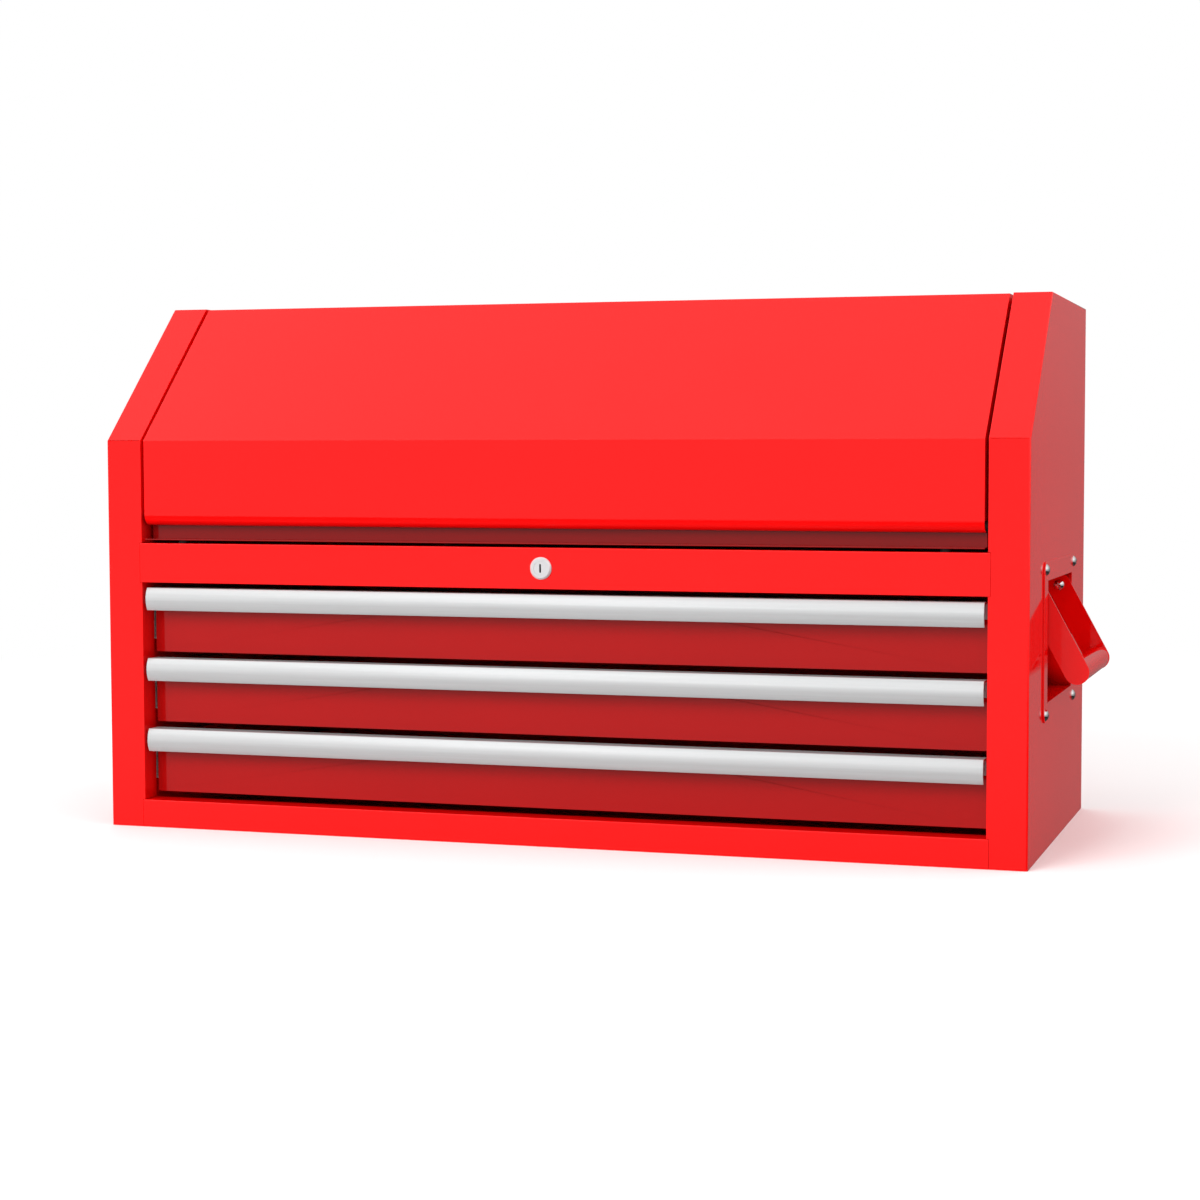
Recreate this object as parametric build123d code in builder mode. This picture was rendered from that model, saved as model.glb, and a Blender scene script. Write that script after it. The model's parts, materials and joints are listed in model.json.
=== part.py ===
from build123d import *
import math
import os

# Tool chest, top-box type: a sheet-steel case with a sloping hinged lid over a till, a lock rail,
# three full-width drawers on ball slides, and a folding carry handle in each side.
# Millimetres. Origin: centre of the footprint on the base plane. +X right, +Y back, +Z up.

os.makedirs("parts", exist_ok=True)

# ---- driving dimensions -------------------------------------------------------------------------
WIDTH = 914.0
DEPTH = 384.0
HEIGHT = 519.5
SHEET = 1.2
BEND_RADIUS = 1.5
SEAM = 0.35

POST_WIDTH = 37.0
POST_RETURN = 22.0
REAR_FLANGE = 20.0
CREASE_HEIGHT = 382.5
SLOPE_DEPTH = 135.2

LOCK_RAIL_BOTTOM = 243.0
LOCK_RAIL_TOP = 281.7
BOTTOM_RAIL_TOP = 27.0
RAIL_LAP = 2.1
TILL_FLOOR_TOP = LOCK_RAIL_TOP - SHEET
TILL_FLANGE = 12.0

LID_GAP = 3.4
LID_DROP = 0.8
LID_FRONT_BOTTOM = 309.5
LIP_RADIUS = 10.5
GROOVE_DEPTH = 16.5
LEDGE_TOP = 286.0
LID_FLANGE = 24.0
LID_REAR_GAP = 7.5
LID_OPEN_ANGLE = 60.0

DRAWER_COUNT = 3
DRAWER_PITCH = 70.0
DRAWER_NAMES = ("top", "middle", "bottom")
TOP_FRONT_BOTTOM = 173.0
FRONT_HEIGHT = 62.5
FRONT_HALF_WIDTH = 417.3
FRONT_SETBACK = 21.0
DRAWER_SHEET = 1.0
DRAWER_DEPTH = 330.0
BOX_LIFT = 5.0
BOX_HEIGHT = 51.0
BOX_FRONT_HEIGHT = 42.0
PULL_HEIGHT = 22.4
PULL_CENTRE_LIFT = 53.3
PULL_WALL = 2.0
PULL_BULGE = 3.2

SLIDE_THICKNESS = 12.7
SLIDE_HEIGHT = 35.0
SLIDE_LENGTH = 336.0
SLIDE_SETBACK = 24.0
SLIDE_CENTRE_LIFT = 30.0

HINGE_RADIUS = 3.0
HINGE_PIN_RADIUS = 1.5
HINGE_HALF_LENGTH = 411.6
HINGE_KNUCKLES = 21
HINGE_GAP = 0.6
RUNNING_GAP = 0.05

STRUT_X = 404.0
STRUT_PIN_RADIUS = 3.0
STRUT_TUBE_RADIUS = 7.5

HANDLE_PIVOT_INSET = 10.8
HANDLE_PIVOT_HEIGHT = 239.5
HANDLE_LENGTH = 81.5
HANDLE_ARM_RADIUS = 11.6
HANDLE_GRIP_RADIUS = 11.2
HANDLE_ARM_OUTER = 83.4
HANDLE_ARM_THICKNESS = 3.0
HANDLE_REST_TILT = 28.5
RECESS_CENTRE_HEIGHT = 195.6
RECESS_OPENING_WIDTH = 170.2
RECESS_OPENING_HEIGHT = 113.3
RECESS_DEPTH = 30.0
RECESS_PLATE_WIDTH = 213.0
RECESS_PLATE_HEIGHT = 149.0
RECESS_PLATE = 1.5
RECESS_CORNER = 12.0
SCREW_SPACING_Y = 193.0
SCREW_SPACING_Z = 134.1
DOME_RADIUS = 5.5
DOME_HEIGHT = 3.2

LOCK_HEIGHT = 262.4
BEZEL_RADIUS = 10.5
BEZEL_PROJECTION = 3.0
BARREL_RADIUS = 9.5
BARREL_LENGTH = 24.0
PLUG_RADIUS = 6.5
CRANK_RADIUS = 10.0
LOCK_PIN_RADIUS = 2.0

# ---- derived places -----------------------------------------------------------------------------
RIGHT = WIDTH / 2
FRONT = -DEPTH / 2
BACK = DEPTH / 2
POST_INNER = RIGHT - POST_WIDTH
RAIL_HALF = POST_INNER + RAIL_LAP
RETURN_HALF = POST_INNER + SHEET
LID_HALF = POST_INNER - LID_GAP
LID_TOP = HEIGHT - LID_DROP
LID_REAR = BACK - LID_REAR_GAP
SLOPE_TOP = FRONT + SLOPE_DEPTH
WALL_FACE = POST_INNER + SHEET + RUNNING_GAP
WALL_SHEET = 1.0
BACK_PANEL_INNER = BACK - 2 * SHEET
HINGE_Y = BACK_PANEL_INNER - HINGE_RADIUS
HINGE_Z = LID_TOP - SHEET - HINGE_RADIUS


# ---- small helpers, used inside a part block ----------------------------------------------------
def block(x0, x1, y0, y1, z0, z1, mode=Mode.ADD):
    """Box between two corners."""
    with Locations(((x0 + x1) / 2, (y0 + y1) / 2, (z0 + z1) / 2)):
        Box(abs(x1 - x0), abs(y1 - y0), abs(z1 - z0), mode=mode)


def rod_x(x0, x1, y, z, radius, mode=Mode.ADD):
    """Round bar along X."""
    with Locations(Location(((x0 + x1) / 2, y, z), (0, 90, 0))):
        Cylinder(radius, abs(x1 - x0), mode=mode)


def rod_y(y0, y1, x, z, radius, mode=Mode.ADD):
    """Round bar along Y."""
    with Locations(Location((x, (y0 + y1) / 2, z), (90, 0, 0))):
        Cylinder(radius, abs(y1 - y0), mode=mode)


def mirrored(right_part):
    """The left-hand copy of a right-hand piece."""
    with BuildPart() as left_part:
        mirror(right_part.part, about=Plane.YZ)
    return left_part


def keep(piece, name):
    """Label a finished piece and write it."""
    piece.part.label = name
    export_step(piece.part, f"parts/{name}.step")


# ---- case ---------------------------------------------------------------------------------------
def case_outline(base=0.0, rear=BACK):
    """Side view of the case as (y, z) corners: front, slope, flat top, back."""
    return [
        (FRONT, base),
        (FRONT, CREASE_HEIGHT),
        (SLOPE_TOP, HEIGHT),
        (rear, HEIGHT),
        (rear, base),
    ]


def make_side_panel():
    """Right cheek: outer plate with front, slope, top and rear flanges and an inner return."""
    margin = 60.0
    recess_half_y = RECESS_OPENING_WIDTH / 2 + SHEET + 0.3
    recess_half_z = RECESS_OPENING_HEIGHT / 2 + SHEET + 0.3
    with BuildPart() as panel:
        with BuildSketch(Plane.YZ.offset(POST_INNER)):
            Polygon(*case_outline(), align=None)
        extrude(amount=POST_WIDTH)
        outer_bends = panel.faces().sort_by(Axis.X)[-1].edges()
        fillet(outer_bends.filter_by(lambda edge: edge.center().Z > 1.0), BEND_RADIUS)
        with BuildSketch(Plane.YZ.offset(POST_INNER + SHEET)):
            Polygon(*case_outline(-margin), align=None)
            offset(amount=-SHEET, kind=Kind.INTERSECTION, mode=Mode.REPLACE)
        extrude(amount=POST_WIDTH - 2 * SHEET, mode=Mode.SUBTRACT)
        with BuildSketch(Plane.YZ.offset(POST_INNER - 1.0)):
            Polygon(*case_outline(-margin, BACK + margin), align=None)
            offset(amount=-POST_RETURN, kind=Kind.INTERSECTION, mode=Mode.REPLACE)
        extrude(amount=SHEET + 1.5, mode=Mode.SUBTRACT)
        block(
            POST_INNER - 1, RIGHT - REAR_FLANGE, BACK - 2 * SHEET, BACK + 1, -1, HEIGHT - SHEET,
            mode=Mode.SUBTRACT,
        )
        for z0, z1 in ((LOCK_RAIL_BOTTOM, LOCK_RAIL_TOP), (-1.0, BOTTOM_RAIL_TOP)):
            block(
                POST_INNER - 1, RAIL_HALF + SEAM, FRONT - 1, FRONT + POST_RETURN + 1,
                z0 - SEAM, z1 + SEAM, mode=Mode.SUBTRACT,
            )
        with Locations(Location(((POST_INNER + RIGHT) / 2, FRONT, CREASE_HEIGHT), (22.5, 0, 0))):
            Box(POST_WIDTH - 2 * SHEET, 6.0, SEAM, mode=Mode.SUBTRACT)
        block(
            RIGHT - SHEET - 1, RIGHT + 1, -recess_half_y, recess_half_y,
            RECESS_CENTRE_HEIGHT - recess_half_z, RECESS_CENTRE_HEIGHT + recess_half_z,
            mode=Mode.SUBTRACT,
        )
        with Locations(Plane.YZ.offset(RIGHT).location):
            with Locations((0, RECESS_CENTRE_HEIGHT)):
                with GridLocations(SCREW_SPACING_Y, SCREW_SPACING_Z, 2, 2):
                    Cylinder(2.6, 4 * SHEET, mode=Mode.SUBTRACT)
    return panel


side_panel_right = make_side_panel()
keep(side_panel_right, "side_panel_right")
keep(mirrored(side_panel_right), "side_panel_left")

# Inner wall each side: it carries the slides and closes the side of the till.
with BuildPart() as inner_wall_right:
    with BuildSketch(Plane.YZ.offset(WALL_FACE)):
        Polygon(*case_outline(-60.0), align=None)
        offset(amount=-(2 * SHEET + 0.1), kind=Kind.INTERSECTION, mode=Mode.REPLACE)
    extrude(amount=WALL_SHEET)
    block(0, RIGHT, FRONT, BACK, -100, SHEET, mode=Mode.SUBTRACT)
keep(inner_wall_right, "inner_wall_right")
keep(mirrored(inner_wall_right), "inner_wall_left")

BACK_PANEL_TOP = HINGE_Z - HINGE_RADIUS
with BuildPart() as back_panel:
    block(
        -RIGHT + SHEET + 0.2, RIGHT - SHEET - 0.2, BACK_PANEL_INNER, BACK - SHEET,
        SHEET, BACK_PANEL_TOP,
    )
keep(back_panel, "back_panel")

SCREW_COLUMN_X = RIGHT - REAR_FLANGE / 2
with BuildPart() as back_screws:
    for height in (60.0, 190.0, 320.0, 450.0):
        for x in (-SCREW_COLUMN_X, SCREW_COLUMN_X):
            with BuildSketch(Plane.XZ.offset(-BACK)):
                with Locations((x, height)):
                    Circle(4.0)
            extrude(amount=-1.8, taper=20.0)
keep(back_screws, "back_screws")

BASE_HALF = RIGHT - SHEET - 0.2
BASE_FRONT = FRONT + SHEET + 0.2
BASE_FLANGE = 12.0
with BuildPart() as bottom_panel:
    block(-BASE_HALF, BASE_HALF, BASE_FRONT, BACK_PANEL_INNER - 0.1, 0, BASE_FLANGE)
    block(
        -BASE_HALF + SHEET, BASE_HALF - SHEET, BASE_FRONT + SHEET, BACK_PANEL_INNER - 0.1 - SHEET,
        SHEET, BASE_FLANGE + 1, mode=Mode.SUBTRACT,
    )
    for side in (-1, 1):
        slot_x = side * (WALL_FACE + WALL_SHEET / 2)
        block(
            slot_x - 1.5, slot_x + 1.5, BASE_FRONT - 1, BACK, SHEET, BASE_FLANGE + 1,
            mode=Mode.SUBTRACT,
        )
keep(bottom_panel, "bottom_panel")

with BuildPart() as bottom_rail:
    block(-RAIL_HALF, RAIL_HALF, FRONT, FRONT + SHEET, 0, BOTTOM_RAIL_TOP)
    block(
        -RETURN_HALF, RETURN_HALF, FRONT, FRONT + POST_RETURN,
        BOTTOM_RAIL_TOP - SHEET, BOTTOM_RAIL_TOP,
    )
    block(
        -POST_INNER + 2, POST_INNER - 2, FRONT + POST_RETURN - SHEET, FRONT + POST_RETURN,
        BASE_FLANGE + 1, BOTTOM_RAIL_TOP,
    )
    fillet(bottom_rail.edges().filter_by(Axis.X).group_by(Axis.Y)[0].sort_by(Axis.Z)[-1], 1.0)
keep(bottom_rail, "bottom_rail")

LOWER_RETURN = 18.0
with BuildPart() as lock_rail:
    block(-RAIL_HALF, RAIL_HALF, FRONT, FRONT + SHEET, LOCK_RAIL_BOTTOM, LOCK_RAIL_TOP)
    block(
        -RETURN_HALF, RETURN_HALF, FRONT, FRONT + POST_RETURN,
        LOCK_RAIL_TOP - SHEET, LOCK_RAIL_TOP,
    )
    block(
        -RETURN_HALF, RETURN_HALF, FRONT, FRONT + LOWER_RETURN,
        LOCK_RAIL_BOTTOM, LOCK_RAIL_BOTTOM + SHEET,
    )
    fillet(lock_rail.edges().filter_by(Axis.X).group_by(Axis.Y)[0].sort_by(Axis.Z)[-1], 1.0)
    rod_y(FRONT - 1, FRONT + 3, 0, LOCK_HEIGHT, BARREL_RADIUS + 0.1, mode=Mode.SUBTRACT)
keep(lock_rail, "lock_rail")

TILL_HALF = WALL_FACE - 0.1
with BuildPart() as till_floor:
    block(
        -TILL_HALF, TILL_HALF, FRONT + POST_RETURN + 0.4, BACK_PANEL_INNER - 0.1,
        TILL_FLOOR_TOP - SHEET, TILL_FLOOR_TOP + TILL_FLANGE,
    )
    block(
        -TILL_HALF + SHEET, TILL_HALF - SHEET, FRONT, BACK_PANEL_INNER - 0.1 - SHEET,
        TILL_FLOOR_TOP, TILL_FLOOR_TOP + TILL_FLANGE + 1, mode=Mode.SUBTRACT,
    )
    block(
        -POST_INNER + 0.3, POST_INNER - 0.3, FRONT + SHEET + 0.2, FRONT + POST_RETURN + 0.4,
        TILL_FLOOR_TOP - SHEET, TILL_FLOOR_TOP,
    )
keep(till_floor, "till_floor")

# ---- lid and its hinge --------------------------------------------------------------------------
# The skin runs from the hinge edge over the flat top and the slope, down the front and round a
# rolled lip. The finger channel carries on from the lip: a web, a back wall and a ledge.
LIP_END_Y = FRONT + LIP_RADIUS
LIP_BOTTOM = LID_FRONT_BOTTOM - LIP_RADIUS
CHANNEL_BACK = FRONT + GROOVE_DEPTH

with BuildPart() as lid:
    with BuildSketch(Plane.YZ.offset(-LID_HALF)):
        with BuildLine():
            top = Polyline((LID_REAR, LID_TOP), (SLOPE_TOP, LID_TOP), (FRONT, CREASE_HEIGHT))
            face = Line(top @ 1, (FRONT, LID_FRONT_BOTTOM))
            TangentArc(face @ 1, (LIP_END_Y, LIP_BOTTOM), tangent=(0, -1))
            offset(amount=SHEET, side=Side.LEFT, kind=Kind.INTERSECTION)
        make_face()
    extrude(amount=2 * LID_HALF)
    for flange_x in (-LID_HALF, LID_HALF - SHEET):
        with BuildSketch(Plane.YZ.offset(flange_x)):
            with BuildLine():
                Polyline(
                    (LID_REAR, LID_TOP),
                    (SLOPE_TOP, LID_TOP),
                    (FRONT, CREASE_HEIGHT),
                    (FRONT, LID_FRONT_BOTTOM),
                )
                offset(amount=LID_FLANGE, side=Side.LEFT, kind=Kind.INTERSECTION)
            make_face()
        extrude(amount=SHEET)
keep(lid, "lid")

with BuildPart() as lid_channel:
    with BuildSketch(Plane.YZ.offset(-LID_HALF)):
        with BuildLine():
            Polyline(
                (LIP_END_Y, LIP_BOTTOM),
                (CHANNEL_BACK, LIP_BOTTOM),
                (CHANNEL_BACK, LEDGE_TOP),
                (FRONT + 1.0, LEDGE_TOP),
            )
            offset(amount=SHEET, side=Side.LEFT, kind=Kind.INTERSECTION)
        make_face()
    extrude(amount=2 * LID_HALF)
keep(lid_channel, "lid_channel")

BUMPER_X = 380.0
with BuildPart() as lid_bumpers:
    with Locations((0, FRONT + 12.0, LOCK_RAIL_TOP)):
        with GridLocations(2 * BUMPER_X, 0, 2, 1):
            Cylinder(5.0, 2.9, align=(Align.CENTER, Align.CENTER, Align.MIN))
keep(lid_bumpers, "lid_bumpers")

KNUCKLE_PITCH = 2 * HINGE_HALF_LENGTH / HINGE_KNUCKLES


def knuckle_spans(first):
    """Start and end along X of every second hinge knuckle."""
    for index in range(first, HINGE_KNUCKLES, 2):
        start = -HINGE_HALF_LENGTH + index * KNUCKLE_PITCH
        yield start + HINGE_GAP / 2, start + KNUCKLE_PITCH - HINGE_GAP / 2


LEAF_WIDTH = 25.0
LEAF_CLEARANCE = HINGE_RADIUS + 0.4
with BuildPart() as hinge_case_leaf:
    block(
        -HINGE_HALF_LENGTH, HINGE_HALF_LENGTH, BACK_PANEL_INNER - SHEET, BACK_PANEL_INNER,
        HINGE_Z - LEAF_WIDTH, HINGE_Z - LEAF_CLEARANCE,
    )
    for x0, x1 in knuckle_spans(0):
        rod_x(x0, x1, HINGE_Y, HINGE_Z, HINGE_RADIUS)
        block(
            x0, x1, BACK_PANEL_INNER - SHEET, BACK_PANEL_INNER, HINGE_Z - LEAF_CLEARANCE, HINGE_Z
        )
    rod_x(
        -RIGHT, RIGHT, HINGE_Y, HINGE_Z, HINGE_PIN_RADIUS + RUNNING_GAP, mode=Mode.SUBTRACT
    )
keep(hinge_case_leaf, "hinge_case_leaf")

with BuildPart() as hinge_lid_leaf:
    block(
        -HINGE_HALF_LENGTH, HINGE_HALF_LENGTH, HINGE_Y - LEAF_WIDTH, HINGE_Y - LEAF_CLEARANCE,
        HINGE_Z + HINGE_RADIUS - SHEET, HINGE_Z + HINGE_RADIUS,
    )
    for x0, x1 in knuckle_spans(1):
        rod_x(x0, x1, HINGE_Y, HINGE_Z, HINGE_RADIUS)
        block(
            x0, x1, HINGE_Y - LEAF_CLEARANCE, HINGE_Y,
            HINGE_Z + HINGE_RADIUS - SHEET, HINGE_Z + HINGE_RADIUS,
        )
    rod_x(
        -RIGHT, RIGHT, HINGE_Y, HINGE_Z, HINGE_PIN_RADIUS + RUNNING_GAP, mode=Mode.SUBTRACT
    )
keep(hinge_lid_leaf, "hinge_lid_leaf")

with BuildPart() as hinge_pin:
    rod_x(-HINGE_HALF_LENGTH, HINGE_HALF_LENGTH, HINGE_Y, HINGE_Z, HINGE_PIN_RADIUS)
keep(hinge_pin, "hinge_pin")

# ---- gas struts ---------------------------------------------------------------------------------
# Each strut turns on a stud on the inner wall and carries a pin in a slot of the lid bracket.
CASE_STUD_Y = FRONT + 340.0
CASE_STUD_Z = 400.0
LID_STUD_Y = FRONT + 260.0
LID_STUD_Z = 506.0
STRUT_LENGTH = math.hypot(LID_STUD_Y - CASE_STUD_Y, LID_STUD_Z - CASE_STUD_Z)
STRUT_TILT = math.degrees(math.atan2(LID_STUD_Z - CASE_STUD_Z, LID_STUD_Y - CASE_STUD_Y))
OPEN = math.radians(LID_OPEN_ANGLE)
ARM_Y = LID_STUD_Y - HINGE_Y
ARM_Z = LID_STUD_Z - HINGE_Z
OPEN_STUD_Y = HINGE_Y + ARM_Y * math.cos(OPEN) + ARM_Z * math.sin(OPEN)
OPEN_STUD_Z = HINGE_Z - ARM_Y * math.sin(OPEN) + ARM_Z * math.cos(OPEN)
OPEN_STRUT_LENGTH = math.hypot(OPEN_STUD_Y - CASE_STUD_Y, OPEN_STUD_Z - CASE_STUD_Z)
OPEN_STRUT_TILT = math.degrees(
    math.atan2(OPEN_STUD_Z - CASE_STUD_Z, OPEN_STUD_Y - CASE_STUD_Y)
)
STRUT_STROKE = OPEN_STRUT_LENGTH - STRUT_LENGTH
STRUT_TURN = STRUT_TILT - OPEN_STRUT_TILT
print("strut length", round(STRUT_LENGTH, 3), "stroke", round(STRUT_STROKE, 3))
print("strut turn", round(STRUT_TURN, 3), "over lid angle", LID_OPEN_ANGLE)

STRUT_EYE_RADIUS = 7.0
STRUT_EYE_HALF = 3.5
STRUT_ROD_RADIUS = 3.0
TUBE_START = 20.0
TUBE_END = STRUT_LENGTH - 12.0
TUBE_BORE = 6.0
GLAND = 6.0
PISTON_END = TUBE_END - 5.0
PISTON = 5.0
SLOT_RUN = 6.1
SLOT_TILT = -36.0
STUD_PLATE = 2.0

strut_frame = Plane(
    origin=(STRUT_X, CASE_STUD_Y, CASE_STUD_Z),
    x_dir=(1, 0, 0),
    z_dir=(0, math.cos(math.radians(STRUT_TILT)), math.sin(math.radians(STRUT_TILT))),
)

with BuildPart(strut_frame) as strut_rod_right:
    with Locations((0, 0, STRUT_EYE_RADIUS - 2)):
        Cylinder(
            STRUT_ROD_RADIUS, PISTON_END - STRUT_EYE_RADIUS + 2,
            align=(Align.CENTER, Align.CENTER, Align.MIN),
        )
    with Locations((0, 0, PISTON_END - PISTON)):
        Cylinder(TUBE_BORE - 0.1, PISTON, align=(Align.CENTER, Align.CENTER, Align.MIN))
    with Locations(Location((0, 0, 0), (0, 90, 0))):
        Cylinder(STRUT_EYE_RADIUS, 2 * STRUT_EYE_HALF)
        Cylinder(STRUT_PIN_RADIUS + RUNNING_GAP, 10.0, mode=Mode.SUBTRACT)
keep(strut_rod_right, "strut_rod_right")
keep(mirrored(strut_rod_right), "strut_rod_left")

LID_PIN_REACH = LID_HALF - SHEET - 0.3 - STRUT_X
with BuildPart(strut_frame) as strut_cylinder_right:
    with Locations((0, 0, TUBE_START)):
        Cylinder(
            STRUT_TUBE_RADIUS, TUBE_END - TUBE_START,
            align=(Align.CENTER, Align.CENTER, Align.MIN),
        )
    with Locations((0, 0, TUBE_START + GLAND)):
        Cylinder(
            TUBE_BORE, TUBE_END - TUBE_START - GLAND - 2.5,
            align=(Align.CENTER, Align.CENTER, Align.MIN), mode=Mode.SUBTRACT,
        )
    with Locations((0, 0, TUBE_START - 1)):
        Cylinder(
            STRUT_ROD_RADIUS + 0.06, GLAND + 2,
            align=(Align.CENTER, Align.CENTER, Align.MIN), mode=Mode.SUBTRACT,
        )
    with Locations((0, 0, TUBE_END - 1)):
        Cylinder(4.0, 8.0, align=(Align.CENTER, Align.CENTER, Align.MIN))
    with Locations(Location((0, 0, STRUT_LENGTH), (0, 90, 0))):
        Cylinder(STRUT_EYE_RADIUS, 2 * STRUT_EYE_HALF)
        Cylinder(
            STRUT_PIN_RADIUS, LID_PIN_REACH, align=(Align.CENTER, Align.CENTER, Align.MIN)
        )
keep(strut_cylinder_right, "strut_cylinder_right")
keep(mirrored(strut_cylinder_right), "strut_cylinder_left")

with BuildPart() as strut_stud_right:
    with BuildSketch(Plane.YZ.offset(WALL_FACE - STUD_PLATE)):
        with Locations((CASE_STUD_Y, CASE_STUD_Z)):
            RectangleRounded(26.0, 34.0, 5.0)
    extrude(amount=STUD_PLATE)
    rod_x(
        STRUT_X - STRUT_EYE_HALF - 1, WALL_FACE - STUD_PLATE, CASE_STUD_Y, CASE_STUD_Z,
        STRUT_PIN_RADIUS,
    )
    rod_x(
        STRUT_X - STRUT_EYE_HALF - 2.2, STRUT_X - STRUT_EYE_HALF - 0.4,
        CASE_STUD_Y, CASE_STUD_Z, STRUT_PIN_RADIUS + 1.8,
    )
    rod_x(
        STRUT_X + STRUT_EYE_HALF + 0.4, WALL_FACE - STUD_PLATE, CASE_STUD_Y, CASE_STUD_Z,
        STRUT_PIN_RADIUS + 2.0,
    )
keep(strut_stud_right, "strut_stud_right")
keep(mirrored(strut_stud_right), "strut_stud_left")

SLOT_MID_Y = LID_STUD_Y + SLOT_RUN / 2 * math.cos(math.radians(SLOT_TILT))
SLOT_MID_Z = LID_STUD_Z + SLOT_RUN / 2 * math.sin(math.radians(SLOT_TILT))
with BuildPart() as strut_bracket_right:
    with BuildSketch(Plane.YZ.offset(LID_HALF - SHEET - STUD_PLATE)):
        with Locations((LID_STUD_Y, (LID_TOP - SHEET + LID_TOP - LID_FLANGE) / 2)):
            RectangleRounded(46.0, LID_FLANGE - SHEET - 0.4, 4.0)
        with Locations(Location((SLOT_MID_Y, SLOT_MID_Z), SLOT_TILT)):
            SlotCenterToCenter(SLOT_RUN, 2 * (STRUT_PIN_RADIUS + 1.2), mode=Mode.SUBTRACT)
    extrude(amount=STUD_PLATE)
keep(strut_bracket_right, "strut_bracket_right")
keep(mirrored(strut_bracket_right), "strut_bracket_left")

# ---- lock ---------------------------------------------------------------------------------------
KEY_SLOT_WIDTH = 1.7
KEY_SLOT_HEIGHT = 8.0
CRANK_Y = FRONT + 366.0
CRANK_START = math.radians(-45.0)
CRANK_PIN_X = CRANK_RADIUS * math.cos(CRANK_START)
CRANK_PIN_Z = LOCK_HEIGHT + CRANK_RADIUS * math.sin(CRANK_START)
LOCK_ROD_SIDE = 6.0

with BuildPart() as lock_barrel:
    rod_y(FRONT - BEZEL_PROJECTION, FRONT, 0, LOCK_HEIGHT, BEZEL_RADIUS)
    chamfer(lock_barrel.edges().sort_by(Axis.Y)[0], 1.4)
    rod_y(FRONT, FRONT + BARREL_LENGTH, 0, LOCK_HEIGHT, BARREL_RADIUS)
    rod_y(
        FRONT - BEZEL_PROJECTION - 1, FRONT + BARREL_LENGTH + 1, 0, LOCK_HEIGHT,
        PLUG_RADIUS + RUNNING_GAP, mode=Mode.SUBTRACT,
    )
keep(lock_barrel, "lock_barrel")

with BuildPart() as lock_nut:
    with BuildSketch(Plane.XZ.offset(-(FRONT + SHEET))):
        with Locations((0, LOCK_HEIGHT)):
            RegularPolygon(12.5, 6, major_radius=False)
            Circle(BARREL_RADIUS + 0.1, mode=Mode.SUBTRACT)
    extrude(amount=-5.0)
keep(lock_nut, "lock_nut")

with BuildPart() as lock_plug:
    rod_y(
        FRONT - BEZEL_PROJECTION + 0.2, FRONT + BARREL_LENGTH + 2, 0, LOCK_HEIGHT, PLUG_RADIUS
    )
    block(
        -KEY_SLOT_WIDTH / 2, KEY_SLOT_WIDTH / 2, FRONT - 5, FRONT + 8,
        LOCK_HEIGHT - KEY_SLOT_HEIGHT / 2, LOCK_HEIGHT + KEY_SLOT_HEIGHT / 2, mode=Mode.SUBTRACT,
    )
keep(lock_plug, "lock_plug")

with BuildPart() as lock_rod:
    block(
        -LOCK_ROD_SIDE / 2, LOCK_ROD_SIDE / 2, FRONT + BARREL_LENGTH + 2, CRANK_Y,
        LOCK_HEIGHT - LOCK_ROD_SIDE / 2, LOCK_HEIGHT + LOCK_ROD_SIDE / 2,
    )
keep(lock_rod, "lock_rod")

with BuildPart() as lock_crank:
    with BuildSketch(Plane.XZ.offset(-CRANK_Y)):
        with Locations((0, LOCK_HEIGHT)):
            Circle(7.0)
        with Locations((CRANK_PIN_X, CRANK_PIN_Z)):
            Circle(4.5)
        make_hull()
    extrude(amount=-3.0)
    rod_y(CRANK_Y + 3.0, CRANK_Y + 9.0, CRANK_PIN_X, CRANK_PIN_Z, LOCK_PIN_RADIUS)
keep(lock_crank, "lock_crank")

BAR_X = (CRANK_PIN_X + CRANK_RADIUS) / 2
BAR_WIDTH = 24.0
BAR_FRONT = CRANK_Y + 5.0
BAR_THICKNESS = 2.5
BAR_BOTTOM = 36.0
BAR_TOP = 263.5
SLOT_CLEARANCE = 0.45
TAB_REACH = 13.0
with BuildPart() as lock_bar:
    block(
        BAR_X - BAR_WIDTH / 2, BAR_X + BAR_WIDTH / 2, BAR_FRONT, BAR_FRONT + BAR_THICKNESS,
        BAR_BOTTOM, BAR_TOP,
    )
    with BuildSketch(Plane.XZ.offset(-(BAR_FRONT - 1))):
        with Locations((BAR_X, CRANK_PIN_Z)):
            SlotCenterToCenter(CRANK_RADIUS * 0.45, 2 * (LOCK_PIN_RADIUS + SLOT_CLEARANCE))
    extrude(amount=-(BAR_THICKNESS + 2), mode=Mode.SUBTRACT)
    for index in range(DRAWER_COUNT):
        tab_z = TOP_FRONT_BOTTOM + SLIDE_CENTRE_LIFT - index * DRAWER_PITCH
        block(
            BAR_X - 8, BAR_X + 8, BAR_FRONT - TAB_REACH, BAR_FRONT, tab_z, tab_z + BAR_THICKNESS
        )
keep(lock_bar, "lock_bar")

with BuildPart() as lock_bar_guides:
    for guide_z in (100.0, 235.0):
        block(
            BAR_X - BAR_WIDTH / 2 - 4, BAR_X + BAR_WIDTH / 2 + 4,
            BAR_FRONT - 2.4, BACK_PANEL_INNER, guide_z - 7, guide_z + 7,
        )
        block(
            BAR_X - BAR_WIDTH / 2 - 0.4, BAR_X + BAR_WIDTH / 2 + 0.4,
            BAR_FRONT - 0.4, BAR_FRONT + BAR_THICKNESS + 0.4, guide_z - 8, guide_z + 8,
            mode=Mode.SUBTRACT,
        )
keep(lock_bar_guides, "lock_bar_guides")

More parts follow.
